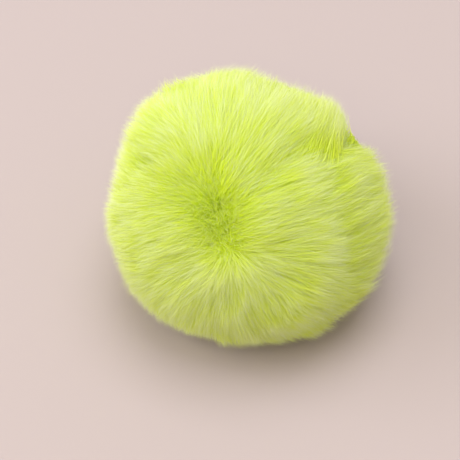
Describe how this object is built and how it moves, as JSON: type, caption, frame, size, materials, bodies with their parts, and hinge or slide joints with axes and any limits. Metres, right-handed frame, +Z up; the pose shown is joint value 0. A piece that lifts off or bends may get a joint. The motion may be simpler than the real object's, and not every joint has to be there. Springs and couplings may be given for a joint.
{
  "type": "fur pom pom",
  "caption": "Round fluffy pom pom of long-pile faux fur, slightly squashed where it rests, its soft locks parting at a crown on the front.",
  "frame": {"origin": "on the table, under the middle of the outline", "axes": "+Z up from the table; +X to the right and -Y towards the viewer, on which side the crown of the pile lies"},
  "size_m": [0.078, 0.0788, 0.064],
  "materials": {
    "lime_faux_fur": "soft long pile, matt"
  },
  "bodies": {
    "root": {"fur_ball": "lime_faux_fur"}
  },
  "joints": []
}
